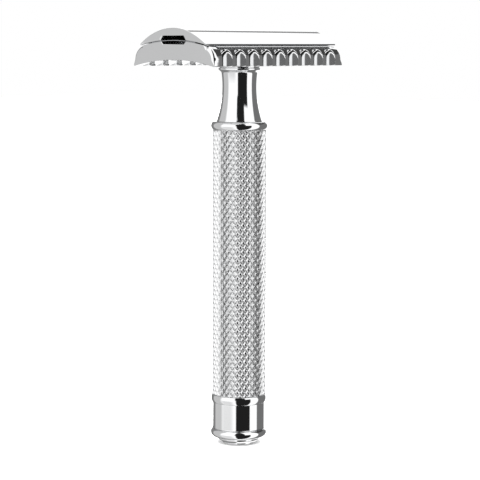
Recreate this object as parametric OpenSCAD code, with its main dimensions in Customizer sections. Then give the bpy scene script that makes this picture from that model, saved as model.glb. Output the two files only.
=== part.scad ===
// Three-piece double-edge safety razor with an open comb and a stacked, hollow handle.
// Millimetres. +Z runs up the handle, X along the blade, Y across it, origin at the centre of the foot.

/* [Foot and end cap] */
// Diameter of the flat foot, which is the head of the tie screw
foot_d = 7.6; // [6:0.1:8.6]
// How far the foot stands below the end cap
foot_h = 0.35; // [0.2:0.05:0.8]
// Height of the tie screw's head
foot_head_h = 1.6; // [1.2:0.1:2.5]
// Width across the flats of the hex socket in the foot
socket_af = 2.5; // [1.5:0.1:3.5]
// Depth of the hex socket
socket_h = 1.1; // [0.6:0.1:1.2]
// Diameter of the step around the foot
sole_d = 9.8; // [9:0.1:10.6]
// Height of the step's upper edge above the table
sole_z = 1.25; // [1:0.05:1.35]
// Height of the step's steep edge
sole_edge_h = 0.35; // [0.1:0.05:0.45]
// Width of the flat rim around the foot
foot_rim = 0.3; // [0.1:0.05:0.4]
// Largest diameter of the bulge above the foot
bulge_d = 12.8; // [12.3:0.1:14]
// Height of the bulge's middle above the table
bulge_z = 2.45; // [2.3:0.05:3]
// Rounding radius of the bulge
bulge_round = 1.05; // [0.7:0.05:1.2]
// Diameter of the plain band
band_d = 11.8; // [11.2:0.1:12.2]
// Height of the band's upper edge above the table
band_top = 9.4; // [7:0.1:14]

/* [Grip] */
// Diameter over the grip tube
grip_d = 12.2; // [11.6:0.1:14]
// Length of the grip tube
grip_l = 59.95; // [40:0.05:80]
// Bore of the grip tube
grip_bore = 10.2; // [8:0.1:10.6]
// Diameter of the ring under the grip
end_ring_d = 12.6; // [12.2:0.1:14]
// Height of the ring under the grip
end_ring_h = 1.75; // [1:0.05:3]
// How far the ring's round outside drops at its edges
end_ring_sag = 0.2; // [0.1:0.05:0.4]
// Diameter of the collar above the grip
collar_d = 12.9; // [12.2:0.1:14]
// Height of the collar above the grip
collar_h = 1.85; // [1:0.05:3]
// How far the collar's round outside drops at its edges
collar_sag = 0.45; // [0.1:0.05:0.5]
// How far each spigot reaches into the grip tube
spigot_l = 5.5; // [3:0.5:12]

/* [Neck] */
// Diameter of the neck where it meets the collar
neck_base_d = 10.4; // [9.4:0.1:11]
// Smallest diameter of the neck
neck_waist_d = 7.75; // [7.2:0.05:8.6]
// Height of the waist above the collar
neck_waist_h = 7.75; // [5:0.05:10]
// Length of the neck between collar and flange
neck_l = 10.95; // [10:0.05:18]
// Diameter of the flange that carries the head
flange_d = 9.5; // [9:0.1:11]
// Height of the flange, with its chamfer
flange_h = 1; // [0.8:0.05:1.6]

/* [Screws] */
// Outside diameter of the head's stud
stud_d = 5; // [4:0.1:5.5]
// Length of the stud that goes into the neck
stud_in_neck = 8; // [6:0.1:9]
// Depth of the tapped hole in the neck
neck_hole_h = 9; // [8.2:0.1:10]
// Shank diameter of the tie screw
tie_d = 3; // [2.5:0.1:5]
// Length of the tie screw that goes into the neck's spigot
tie_in_neck = 5; // [3:0.1:7]

/* [Comb plate] */
// Length of the comb plate, which sets the head's length
plate_l = 42.4; // [38:0.1:52]
// How far the teeth reach past the blade's edge on each side
comb_reach = 1.2; // [0.8:0.05:2]
// Radius of the bed that bends the blade
bed_r = 43; // [30:1:70]
// Thickness of the plate at its middle
plate_t = 4.1; // [3.6:0.1:5]
// Height of the round boss under the plate
boss_h = 1.85; // [1.2:0.05:3]
// Diameter of the boss under the plate
boss_d = 9.2; // [8:0.1:12]
// How far the arched underside drops from its middle to the teeth
arch_drop = 1.45; // [0.8:0.05:1.8]
// Radius of the rounded outer edge of the plate
nose_r = 3.1; // [2.4:0.1:3.4]
// Number of slots along each side
slots = 9; // [5:1:9]
// Width of the tooth at each end of a side
end_tooth_w = 2.48; // [1.5:0.02:4]
// Width of a slot
slot_w = 3.2; // [2.2:0.1:3.3]
// Depth of a slot from the tooth's face
slot_deep = 2.45; // [1.8:0.05:2.6]

/* [Blade] */
// How far the blade's end tabs stop short of the plate's ends
blade_inset = 0.1; // [0:0.05:0.4]
// Length of an end tab
tab_l = 2.4; // [1.5:0.1:4]
// Width of the blade over its edges, which sets the head's width
blade_w = 21.9; // [18:0.1:24]
// Width of the end tabs
tab_w = 13; // [11:0.5:16]
// Thickness of the blade
blade_t = 0.1; // [0.08:0.01:0.25]
// Radial clearance of the blade's middle hole round the stud
blade_hole_gap = 0.5; // [0.3:0.05:1]
// Radial clearance of the blade's pin holes
blade_pin_gap = 0.6; // [0.3:0.05:1]
// Width of the long slot that joins the holes
blade_slot_w = 1.6; // [1:0.1:2.4]
// How far the long slot stops short of the blade's ends
blade_slot_end = 4.6; // [4:0.1:8]

/* [Cap] */
// How far the cap overhangs the plate at each end
cap_over = 0.2; // [0:0.05:0.5]
// How far the blade's edge stands out past the cap on each side
exposure = 1.05; // [0.6:0.05:1.4]
// Radius of the cap's crown
crown_r = 16; // [14:0.5:24]
// Thickness of the cap at its middle, above the blade
cap_t = 2.6; // [2.4:0.05:4]
// Width of the channel along the cap and the plate
channel_w = 7.4; // [6.8:0.1:8.4]
// Depth of the channel in the plate
plate_channel = 0.75; // [0.4:0.05:1.2]
// Depth of the channel in the cap
cap_channel = 0.85; // [0.4:0.05:1.2]
// Sideways slope of the channel's walls
channel_slope = 0.6; // [0.2:0.1:1]
// Diameter of a locating pin
pin_d = 2; // [1.6:0.1:2.4]
// Distance between the two locating pins
pin_pitch = 21; // [16:0.5:26]
// How far a pin reaches into the plate, below the blade
pin_l = 2.6; // [1.6:0.1:3]
// Depth of the stud's shank and of the pins in the cap
root_h = 0.9; // [0.5:0.05:1]

/* [Fits] */
// Radial clearance of the pins and the stud where they slide in the plate
slide_gap = 0.08; // [0.03:0.01:0.1]
// Radial clearance of the stud's thread in the neck
thread_gap = 0.05; // [0.02:0.01:0.1]
// Clearance between pieces that are fixed to each other
fixed_gap = 0.02; // [0.01:0.01:0.05]
// Clearance between faces that part when the head is unscrewed
face_gap = 0.02; // [0.01:0.01:0.05]
// Clearance on each side of the blade
blade_gap = 0.03; // [0.02:0.01:0.08]

/* [Hidden] */
$fn = 96;
over = 1;                                       // how far a cutting shape stands past the face it cuts
small_edge = 0.1;                               // width of the small bevels on turned edges

// heights up the handle
ring_z = band_top + fixed_gap;
grip_z = ring_z + end_ring_h + fixed_gap;
grip_top = grip_z + grip_l;
collar_z = grip_top + fixed_gap;
neck_z = collar_z + collar_h + fixed_gap;
flange_z = neck_z + neck_l;
neck_top = flange_z + flange_h;
neck_foot = grip_top - spigot_l;
neck_hole_z = neck_top - neck_hole_h;
tie_top = neck_foot + tie_in_neck;

// heights up the head
boss_z = neck_top + face_gap;
arch_z = boss_z + boss_h;
bed_z = arch_z + plate_t;                       // crown of the bed
bed_centre = bed_z - bed_r;
blade_r = bed_r + blade_gap;                    // the blade's inner radius
cap_bed_r = blade_r + blade_t + blade_gap;      // the cap's concave underside
cap_bed_z = bed_centre + cap_bed_r;
crown_z = cap_bed_z + cap_t;
crown_centre = crown_z - crown_r;
plate_channel_z = bed_z - plate_channel;
cap_channel_z = cap_bed_z + cap_channel;
root_z = cap_channel_z + root_h;
stud_z = neck_top - stud_in_neck;
pin_z = bed_z - pin_l;

// handle pieces
spigot_d = grip_bore - 2 * fixed_gap;
ring_bore = spigot_d + 2 * fixed_gap;
neck_flare = (neck_base_d - neck_waist_d) / 2;
neck_arc_r = (pow(neck_waist_h, 2) + pow(neck_flare, 2)) / (2 * neck_flare);
neck_top_r = neck_waist_d / 2 + neck_arc_r - sqrt(pow(neck_arc_r, 2) - pow(neck_l - neck_waist_h, 2));

// head lengths and widths
cap_l = plate_l + 2 * cap_over;
cap_w = blade_w - 2 * exposure;
plate_w = blade_w + 2 * comb_reach;
blade_l = plate_l - 2 * blade_inset;
edge_l = blade_l - 2 * tab_l;
slot_pitch = (plate_l - 2 * end_tooth_w - slot_w) / (slots - 1);

// comb plate
nose_y = plate_w / 2 - nose_r;
nose_z = bed_centre + sqrt(pow(bed_r - nose_r, 2) - pow(nose_y, 2));    // tangent to the bed
arch_r = (pow(plate_w / 2, 2) + pow(arch_drop, 2)) / (2 * arch_drop);
tip_z = arch_z - arch_drop;

// A ring whose outside is one round arc: full diameter at mid-height, less by the sag at its edges
module round_ring(d, h, bore, sag) {
    arc_r = (pow(h / 2, 2) + pow(sag, 2)) / (2 * sag);
    rotate_extrude()
        intersection() {
            translate([bore / 2, 0])
                square([(d - bore) / 2, h]);
            translate([d / 2 - arc_r, h / 2])
                circle(arc_r);
        }
}

// Extrudes a profile drawn with Y to the right and Z up along the blade's length
module along_blade(l) {
    rotate([90, 0, 90])
        translate([0, 0, -l / 2])
            linear_extrude(l)
                children();
}

// Profile of the channel: wide at the bed, narrower by the slope at its floor
module channel_profile(from_z, floor_z) {
    half = channel_w / 2;
    floor_half = half - channel_slope;
    polygon([[-half, from_z], [half, from_z], [floor_half, floor_z], [-floor_half, floor_z]]);
}

// Places its children at both locating pins
module at_pins() {
    for (side = [-1, 1])
        translate([side * pin_pitch / 2, 0, 0])
            children();
}

// Hexagonal prism, sized across its flats
module hex(af, h) {
    cylinder(h = h, d = af / cos(30), $fn = 6);
}

module end_cap() {
    color("silver")
        difference() {
            union() {
                rotate_extrude()
                    union() {
                        polygon([[0, foot_h], [foot_d / 2 + foot_rim, foot_h],
                                 [sole_d / 2 - small_edge, sole_z - sole_edge_h],
                                 [sole_d / 2, sole_z], [bulge_d / 2 - bulge_round, bulge_z - bulge_round],
                                 [bulge_d / 2 - bulge_round, bulge_z], [band_d / 2, bulge_z],
                                 [band_d / 2, band_top], [0, band_top]]);
                        translate([bulge_d / 2 - bulge_round, bulge_z])
                            circle(bulge_round);
                    }
                translate([0, 0, bulge_z])
                    cylinder(h = grip_z + spigot_l - bulge_z, d = spigot_d);
            }
            cylinder(h = 2 * (grip_z + spigot_l), d = tie_d + 2 * fixed_gap, center = true);
            cylinder(h = 2 * (foot_head_h + fixed_gap), d = foot_d + 2 * fixed_gap, center = true);
        }
}

module tie_screw() {
    color("silver")
        difference() {
            union() {
                cylinder(h = foot_head_h, d = foot_d);
                cylinder(h = tie_top, d = tie_d);
            }
            translate([0, 0, -over])
                hex(socket_af, socket_h + over);
        }
}

module end_ring() {
    color("silver")
        translate([0, 0, ring_z])
            round_ring(end_ring_d, end_ring_h, ring_bore, end_ring_sag);
}

module grip_tube() {
    color("gainsboro")
        translate([0, 0, grip_z])
            difference() {
                cylinder(h = grip_l, d = grip_d);
                translate([0, 0, -over])
                    cylinder(h = grip_l + 2 * over, d = grip_bore);
            }
}

module collar_ring() {
    color("silver")
        translate([0, 0, collar_z])
            round_ring(collar_d, collar_h, ring_bore, collar_sag);
}

module neck() {
    color("silver")
        difference() {
            union() {
                translate([0, 0, neck_foot])
                    cylinder(h = neck_z - neck_foot + over, d = spigot_d);
                rotate_extrude()
                    difference() {
                        union() {
                            translate([0, neck_z])
                                square([neck_base_d / 2, neck_l]);
                            polygon([[0, flange_z - over], [neck_top_r, flange_z - over],
                                     [neck_top_r, flange_z],
                                     [flange_d / 2 - small_edge, flange_z + flange_h / 2],
                                     [flange_d / 2, flange_z + flange_h / 2 + small_edge],
                                     [flange_d / 2, neck_top], [0, neck_top]]);
                        }
                        intersection() {
                            translate([neck_waist_d / 2 + neck_arc_r, neck_z + neck_waist_h])
                                circle(neck_arc_r, $fn = 400);
                            translate([0, neck_z - over])
                                square([bulge_d, neck_l + over]);
                        }
                    }
            }
            translate([0, 0, neck_hole_z])
                cylinder(h = neck_hole_h + over, d = stud_d + 2 * thread_gap);
            translate([0, 0, neck_foot - over])
                cylinder(h = tie_in_neck + 2 * over, d = tie_d + 2 * fixed_gap);
        }
}

// Outline of the plate across the blade: bed, rounded edges, straight outer faces and arched underside
module plate_profile() {
    difference() {
        union() {
            intersection() {
                translate([0, bed_centre])
                    circle(bed_r, $fn = 400);
                translate([-nose_y, tip_z])
                    square([2 * nose_y, plate_t + 2 * arch_drop]);
            }
            for (side = [-1, 1]) {
                translate([side * nose_y, nose_z])
                    circle(nose_r);
                translate([side * (nose_y + nose_r / 2) - nose_r / 2, tip_z])
                    square([nose_r, nose_z - tip_z]);
            }
        }
        translate([0, arch_z - arch_r])
            circle(arch_r, $fn = 400);
        channel_profile(bed_z + over, plate_channel_z);
        translate([-plate_w, tip_z - plate_w])
            square([2 * plate_w, plate_w]);
    }
}

// One scalloped slot at the edge on the +Y side, cut down through the teeth
module comb_slot() {
    floor_y = plate_w / 2 - slot_deep;
    translate([0, floor_y + slot_w / 2, tip_z - over])
        cylinder(h = bed_z - tip_z + 2 * over, d = slot_w);
    translate([-slot_w / 2, floor_y + slot_w / 2, tip_z - over])
        cube([slot_w, slot_deep + over, bed_z - tip_z + 2 * over]);
}

module comb_plate() {
    color("gainsboro")
        difference() {
            union() {
                along_blade(plate_l)
                    plate_profile();
                translate([0, 0, boss_z])
                    cylinder(h = boss_h + over, d = boss_d);
            }
            for (side = [0, 180])
                rotate([0, 0, side])
                    for (i = [0 : slots - 1])
                        translate([(i - (slots - 1) / 2) * slot_pitch, 0, 0])
                            comb_slot();
            translate([0, 0, boss_z - over])
                cylinder(h = bed_z - boss_z + 2 * over, d = stud_d + 2 * slide_gap);
            at_pins()
                translate([0, 0, tip_z])
                    cylinder(h = bed_z - tip_z + over, d = pin_d + 2 * slide_gap);
        }
}

// Flat outline of the blade, seen from above
module blade_outline() {
    difference() {
        union() {
            square([edge_l, blade_w], center = true);
            square([blade_l, tab_w], center = true);
        }
        circle(d = stud_d + 2 * blade_hole_gap);
        square([blade_l - 2 * blade_slot_end, blade_slot_w], center = true);
        for (side = [-1, 1])
            translate([side * pin_pitch / 2, 0])
                circle(d = pin_d + 2 * blade_pin_gap);
    }
}

module blade() {
    color("lightsteelblue")
        intersection() {
            along_blade(blade_l)
                difference() {
                    translate([0, bed_centre])
                        circle(blade_r + blade_t, $fn = 400);
                    translate([0, bed_centre])
                        circle(blade_r, $fn = 400);
                }
            translate([0, 0, tip_z])
                linear_extrude(crown_z - tip_z)
                    blade_outline();
        }
}

module cap() {
    color("silver")
        difference() {
            along_blade(cap_l)
                difference() {
                    intersection() {
                        translate([0, crown_centre])
                            circle(crown_r, $fn = 400);
                        translate([-cap_w / 2, tip_z])
                            square([cap_w, crown_z]);
                    }
                    translate([0, bed_centre])
                        circle(cap_bed_r, $fn = 400);
                    channel_profile(bed_z - over, cap_channel_z);
                }
            translate([0, 0, cap_bed_z])
                cylinder(h = root_z - cap_bed_z + fixed_gap, d = stud_d + 2 * fixed_gap);
            at_pins()
                translate([0, 0, cap_bed_z])
                    cylinder(h = root_z - cap_bed_z + fixed_gap, d = pin_d + 2 * fixed_gap);
        }
}

module threaded_stud() {
    color("gray")
        translate([0, 0, stud_z])
            cylinder(h = root_z - stud_z, d = stud_d);
}

module locating_pins() {
    color("gray")
        at_pins()
            translate([0, 0, pin_z])
                cylinder(h = root_z - pin_z, d = pin_d);
}

end_cap();
tie_screw();
end_ring();
grip_tube();
collar_ring();
neck();
comb_plate();
blade();
cap();
threaded_stud();
locating_pins();
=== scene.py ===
"""Open-comb double-edge safety razor: its pieces, finishes, studio and camera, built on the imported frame.

Shapes are made in millimetres and brought to metres as each piece is finished.
"""

import sys
import logging
import math
from collections.abc import Callable, Iterable, Sequence
from dataclasses import dataclass
from enum import Enum
from functools import cache

import bmesh
import bpy
from mathutils import Matrix, Vector


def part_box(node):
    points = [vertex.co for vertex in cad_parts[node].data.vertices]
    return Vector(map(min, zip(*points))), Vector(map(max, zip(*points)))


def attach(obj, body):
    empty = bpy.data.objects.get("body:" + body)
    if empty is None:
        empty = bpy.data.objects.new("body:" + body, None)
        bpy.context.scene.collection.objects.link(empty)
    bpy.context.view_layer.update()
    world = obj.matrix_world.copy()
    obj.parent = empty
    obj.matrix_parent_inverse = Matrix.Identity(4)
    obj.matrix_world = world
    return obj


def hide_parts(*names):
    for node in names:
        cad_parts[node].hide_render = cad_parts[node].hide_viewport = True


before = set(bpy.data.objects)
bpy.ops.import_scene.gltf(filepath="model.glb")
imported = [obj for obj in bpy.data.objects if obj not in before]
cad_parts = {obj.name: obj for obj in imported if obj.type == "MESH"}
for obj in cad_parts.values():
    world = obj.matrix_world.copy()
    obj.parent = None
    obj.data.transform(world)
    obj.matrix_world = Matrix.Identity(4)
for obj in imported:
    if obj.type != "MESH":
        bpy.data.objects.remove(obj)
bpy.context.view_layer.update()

MM = 0.001
FULL_TURN = 2 * math.pi
SPIGOT_RADIUS = 5.08
PIN_PITCH = 21.0
WELD = 1e-5
LATHE_LAY = (1.0, 1.0, 6.0)
SHARPEST_MITRE = 0.3
Colour = tuple[float, float, float]
log = logging.getLogger("razor")


class Body(Enum):
    """The bodies that move on their own."""

    HANDLE = "handle"
    COMB = "comb_plate"
    BLADE = "blade"
    CAP = "cap"


class Cut(Enum):
    """How two solids are combined."""

    TAKE_AWAY = "DIFFERENCE"
    JOIN = "UNION"


@dataclass(frozen=True)
class Span:
    """The box of a CAD node in millimetres.

    Args:
        low: lowest corner.
        high: highest corner.
    """

    low: Vector
    high: Vector

    @staticmethod
    @cache
    def of(node: str) -> "Span":
        """Measures one CAD node.

        Args:
            node: its name.

        Returns:
            Its box in millimetres.
        """
        low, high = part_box(node)
        return Span(low / MM, high / MM)

    @property
    def radius(self) -> float:
        """Radius of a node that is round about the handle's axis."""
        return self.high.x

    @property
    def height(self) -> float:
        """Height of the node."""
        return self.high.z - self.low.z


@dataclass(frozen=True)
class Stop:
    """A corner of an outline.

    Args:
        across: radius of a turned piece, or Y of a swept one.
        z: height.
        ease: how far the corner is rounded back along its sides.
        end_ease: rounding of a swept piece's end at this corner.
    """

    across: float
    z: float
    ease: float = 0.0
    end_ease: float = 0.0


def arc(centre: tuple[float, float], radius: float, start: float, end: float, steps: int) -> list[Stop]:
    """Corners along an arc.

    Args:
        centre: its centre, across and up.
        radius: its radius.
        start: first angle in degrees, counted from the across axis towards +Z.
        end: last angle in degrees.
        steps: number of chords.

    Returns:
        The corners, from first to last.
    """
    angles = [math.radians(start + (end - start) * i / steps) for i in range(steps + 1)]
    return [Stop(centre[0] + radius * math.cos(a), centre[1] + radius * math.sin(a)) for a in angles]


def wire(stops: Sequence[Stop], closed: bool, upright: Callable[[Stop], Vector]) -> bmesh.types.BMesh:
    """Draws an outline as a wire and rounds its eased corners.

    Args:
        stops: corners in order.
        closed: whether the last corner joins the first.
        upright: where a corner goes in space.

    Returns:
        The wire.
    """
    bm = bmesh.new()
    corners = [bm.verts.new(upright(s)) for s in stops]
    for a, b in zip(corners, corners[1:] + corners[:1] if closed else corners[1:]):
        bm.edges.new((a, b))
    for ease in sorted({s.ease for s in stops if s.ease > 0}):
        chosen = [v for v, s in zip(corners, stops) if s.ease == ease]
        bmesh.ops.bevel(bm, geom=chosen, offset=ease, offset_type="OFFSET", affect="VERTICES",
                        segments=4, profile=0.5, material=-1)
    return bm


def close_up(bm: bmesh.types.BMesh) -> bmesh.types.BMesh:
    """Merges doubles, drops what has no area and turns every face outwards.

    Args:
        bm: the solid, changed in place.

    Returns:
        The same solid.
    """
    bmesh.ops.remove_doubles(bm, verts=bm.verts, dist=WELD)
    bmesh.ops.dissolve_degenerate(bm, edges=bm.edges, dist=WELD / 10)
    bmesh.ops.recalc_face_normals(bm, faces=bm.faces)
    return bm


def turned(stops: Sequence[Stop], closed: bool = False, steps: int = 128) -> bmesh.types.BMesh:
    """Turns an outline about the handle's axis, as a lathe does.

    Args:
        stops: corners of the outline, radius and height.
        closed: True for a piece with a bore, False where the outline starts and ends on the axis.
        steps: number of facets round the piece.

    Returns:
        A closed solid.
    """
    bm = wire(stops, closed, lambda s: Vector((s.across, 0, s.z)))
    bmesh.ops.spin(bm, geom=bm.verts[:] + bm.edges[:], cent=(0, 0, 0), axis=(0, 0, 1), dvec=(0, 0, 0),
                   angle=FULL_TURN, steps=steps, use_merge=True)
    return close_up(bm)


def copy_at(bm: bmesh.types.BMesh, places: Iterable[Vector]) -> bmesh.types.BMesh:
    """Repeats a solid at several places.

    Args:
        bm: the solid.
        places: how far each copy is moved.

    Returns:
        All the copies as one mesh of separate solids.
    """
    geometry = bm.verts[:] + bm.edges[:] + bm.faces[:]
    for place in places:
        made = bmesh.ops.duplicate(bm, geom=geometry)["geom"]
        bmesh.ops.translate(bm, vec=place, verts=[v for v in made if isinstance(v, bmesh.types.BMVert)])
    bmesh.ops.delete(bm, geom=geometry, context="VERTS")
    return bm


def combine(base: bmesh.types.BMesh, tool: bmesh.types.BMesh, how: Cut) -> bmesh.types.BMesh:
    """Cuts or joins two solids exactly.

    Args:
        base: the solid that is worked on; it is used up.
        tool: the solid that cuts or joins; it is used up.
        how: whether the tool is taken away or joined.

    Returns:
        The new solid.
    """
    holders = []
    for bm in (base, tool):
        mesh = bpy.data.meshes.new("work")
        bm.to_mesh(mesh)
        bm.free()
        holder = bpy.data.objects.new("work", mesh)
        bpy.context.scene.collection.objects.link(holder)
        holders.append(holder)
    cut = holders[0].modifiers.new("cut", "BOOLEAN")
    cut.operation = how.value
    cut.solver = "EXACT"
    cut.object = holders[1]
    result = bmesh.new()
    result.from_object(holders[0], bpy.context.evaluated_depsgraph_get())
    for holder in holders:
        mesh = holder.data
        bpy.data.objects.remove(holder)
        bpy.data.meshes.remove(mesh)
    return close_up(result)


@dataclass(frozen=True)
class Chrome:
    """A polished chrome plating.

    Args:
        name: material name.
        colour: reflectance of the plating.
        roughness: how far the polish scatters light.
        haze: how much the roughness varies from place to place.
        haze_scale: how fine that variation is.
        haze_range: lowest and highest noise that the variation answers to.
        ripple: depth of the polished surface's faint waves, in millimetres.
        ripple_scale: how fine the waves are.
        lay: stretch of the waves along X, Y and Z.
    """

    name: str
    colour: Colour = (0.84, 0.845, 0.85)
    roughness: float = 0.045
    haze: float = 0.03
    haze_scale: float = 260.0
    haze_range: tuple[float, float] = (0.3, 0.7)
    ripple: float = 0.0006
    ripple_scale: float = 900.0
    lay: tuple[float, float, float] = (1.0, 1.0, 1.0)

    def material(self) -> bpy.types.Material:
        """Builds the plating's nodes.

        Returns:
            The material.
        """
        made = bpy.data.materials.new(self.name)
        made.use_nodes = True
        nodes, links = made.node_tree.nodes, made.node_tree.links
        shader = nodes["Principled BSDF"]
        shader.inputs["Metallic"].default_value = 1.0
        shader.inputs["Base Color"].default_value = (*self.colour, 1.0)
        place = nodes.new("ShaderNodeTexCoord")
        stretch = nodes.new("ShaderNodeMapping")
        stretch.inputs["Scale"].default_value = self.lay
        links.new(place.outputs["Object"], stretch.inputs["Vector"])
        self.polish(made.node_tree, place.outputs["Object"], shader)
        waves = nodes.new("ShaderNodeTexNoise")
        waves.inputs["Scale"].default_value = self.ripple_scale
        waves.inputs["Detail"].default_value = 3.0
        links.new(stretch.outputs["Vector"], waves.inputs["Vector"])
        relief = nodes.new("ShaderNodeBump")
        relief.inputs["Strength"].default_value = 1.0
        relief.inputs["Distance"].default_value = self.ripple * MM
        links.new(waves.outputs["Fac"], relief.inputs["Height"])
        links.new(relief.outputs["Normal"], shader.inputs["Normal"])
        return made

    def polish(self, tree: bpy.types.NodeTree, place: bpy.types.NodeSocket, shader: bpy.types.Node) -> None:
        """Lets the roughness vary a little from place to place.

        Args:
            tree: the material's nodes and links.
            place: coordinates on the piece.
            shader: the surface shader.
        """
        smudge = tree.nodes.new("ShaderNodeTexNoise")
        smudge.inputs["Scale"].default_value = self.haze_scale
        smudge.inputs["Detail"].default_value = 4.0
        tree.links.new(place, smudge.inputs["Vector"])
        spread = tree.nodes.new("ShaderNodeMapRange")
        spread.inputs["From Min"].default_value = self.haze_range[0]
        spread.inputs["From Max"].default_value = self.haze_range[1]
        spread.inputs["To Min"].default_value = self.roughness
        spread.inputs["To Max"].default_value = self.roughness + self.haze
        tree.links.new(smudge.outputs["Fac"], spread.inputs["Value"])
        tree.links.new(spread.outputs["Result"], shader.inputs["Roughness"])


@dataclass(frozen=True)
class KnurledChrome(Chrome):
    """Chrome plating over a knurl, with polished flats and duller flanks; the flats carry painted shade and
    the flanks a painted highlight.

    Args:
        flats: radius of the knurl's flats, in millimetres.
        flank_top: how far under the flats the flanks' roughness and painted highlight start, in millimetres.
        flat_foot: how far under the flats their own roughness and painted shade end, in millimetres.
        flank_roughness: how far the flanks scatter light.
        flank_painted_highlight: painted highlight colour of the flanks, brighter than the plating.
        flat_painted_shade: share of the plating's colour that the flats keep, as painted shade.
    """

    flats: float = 6.0
    flank_top: float = 0.035
    flat_foot: float = 0.012
    flank_roughness: float = 0.36
    flank_painted_highlight: Colour = (0.98, 0.985, 0.99)
    flat_painted_shade: float = 0.8

    def polish(self, tree: bpy.types.NodeTree, place: bpy.types.NodeSocket, shader: bpy.types.Node) -> None:
        """Changes the roughness, the painted highlight and the painted shade from flanks to flats, by
        distance from the handle's axis.

        Args:
            tree: the material's nodes and links.
            place: coordinates on the piece.
            shader: the surface shader.
        """
        nodes, links = tree.nodes, tree.links
        level = nodes.new("ShaderNodeVectorMath")
        level.operation = "MULTIPLY"
        level.inputs[1].default_value = (1.0, 1.0, 0.0)
        links.new(place, level.inputs[0])
        radius = nodes.new("ShaderNodeVectorMath")
        radius.operation = "LENGTH"
        links.new(level.outputs["Vector"], radius.inputs[0])
        scatter, painted_light_blend = nodes.new("ShaderNodeMapRange"), nodes.new("ShaderNodeMapRange")
        for ramp in (scatter, painted_light_blend):
            ramp.inputs["From Min"].default_value = (self.flats - self.flank_top) * MM
            ramp.inputs["From Max"].default_value = (self.flats - self.flat_foot) * MM
            links.new(radius.outputs["Value"], ramp.inputs["Value"])
        scatter.inputs["To Min"].default_value = self.flank_roughness
        scatter.inputs["To Max"].default_value = self.roughness
        links.new(scatter.outputs["Result"], shader.inputs["Roughness"])
        # painted highlight on the flanks and painted shade on the flats, blended by distance from the axis
        shade = nodes.new("ShaderNodeValToRGB")
        shade.color_ramp.elements[0].color = (*self.flank_painted_highlight, 1.0)
        shade.color_ramp.elements[1].color = (*[c * self.flat_painted_shade for c in self.colour], 1.0)
        links.new(painted_light_blend.outputs["Result"], shade.inputs["Fac"])
        links.new(shade.outputs["Color"], shader.inputs["Base Color"])


@dataclass(frozen=True)
class BladeSteel:
    """Hardened strip steel, brushed along its length; its real ground edge is coloured brighter, a painted
    highlight for the light that the bevel catches.

    Args:
        name: material name.
        ground_from: distance of the ground edge's start from the middle, in millimetres.
        ground_blend: width over which the strip passes into the ground edge, in millimetres.
        strip_colour: reflectance of the strip.
        ground_painted_highlight: painted highlight colour of the ground edge, brighter than the strip.
        least_rough: roughness of the smoothest brush marks.
        most_rough: roughness of the roughest brush marks.
        brush_scale: how fine the brush marks are.
        brush_lay: stretch of the brush marks along X, Y and Z.
        brush_depth: depth of the brush marks, in millimetres.
    """

    name: str
    ground_from: float
    ground_blend: float = 0.04
    strip_colour: Colour = (0.60, 0.61, 0.63)
    ground_painted_highlight: Colour = (0.86, 0.87, 0.88)
    least_rough: float = 0.18
    most_rough: float = 0.34
    brush_scale: float = 9000.0
    brush_lay: tuple[float, float, float] = (0.02, 1.0, 1.0)
    brush_depth: float = 0.002

    def material(self) -> bpy.types.Material:
        """Builds the steel's nodes.

        Returns:
            The material.
        """
        made = bpy.data.materials.new(self.name)
        made.use_nodes = True
        nodes, links = made.node_tree.nodes, made.node_tree.links
        shader = nodes["Principled BSDF"]
        shader.inputs["Metallic"].default_value = 1.0
        place = nodes.new("ShaderNodeTexCoord")
        axes = nodes.new("ShaderNodeSeparateXYZ")
        links.new(place.outputs["Object"], axes.inputs["Vector"])
        out = nodes.new("ShaderNodeMath")
        out.operation = "ABSOLUTE"
        links.new(axes.outputs["Y"], out.inputs[0])
        ground = nodes.new("ShaderNodeMapRange")
        ground.inputs["From Min"].default_value = self.ground_from * MM
        ground.inputs["From Max"].default_value = (self.ground_from + self.ground_blend) * MM
        links.new(out.outputs["Value"], ground.inputs["Value"])
        # painted highlight: the ground edge is coloured brighter than the strip, for the light that its bevel
        # catches
        painted_light_blend = nodes.new("ShaderNodeValToRGB")
        painted_light_blend.color_ramp.elements[0].color = (*self.strip_colour, 1.0)
        painted_light_blend.color_ramp.elements[1].color = (*self.ground_painted_highlight, 1.0)
        links.new(ground.outputs["Result"], painted_light_blend.inputs["Fac"])
        links.new(painted_light_blend.outputs["Color"], shader.inputs["Base Color"])
        stretch = nodes.new("ShaderNodeMapping")
        stretch.inputs["Scale"].default_value = self.brush_lay
        links.new(place.outputs["Object"], stretch.inputs["Vector"])
        brush = nodes.new("ShaderNodeTexNoise")
        brush.inputs["Scale"].default_value = self.brush_scale
        brush.inputs["Detail"].default_value = 2.0
        links.new(stretch.outputs["Vector"], brush.inputs["Vector"])
        rough = nodes.new("ShaderNodeMapRange")
        rough.inputs["To Min"].default_value = self.least_rough
        rough.inputs["To Max"].default_value = self.most_rough
        links.new(brush.outputs["Fac"], rough.inputs["Value"])
        links.new(rough.outputs["Result"], shader.inputs["Roughness"])
        relief = nodes.new("ShaderNodeBump")
        relief.inputs["Strength"].default_value = 1.0
        relief.inputs["Distance"].default_value = self.brush_depth * MM
        links.new(brush.outputs["Fac"], relief.inputs["Height"])
        links.new(relief.outputs["Normal"], shader.inputs["Normal"])
        return made


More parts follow.
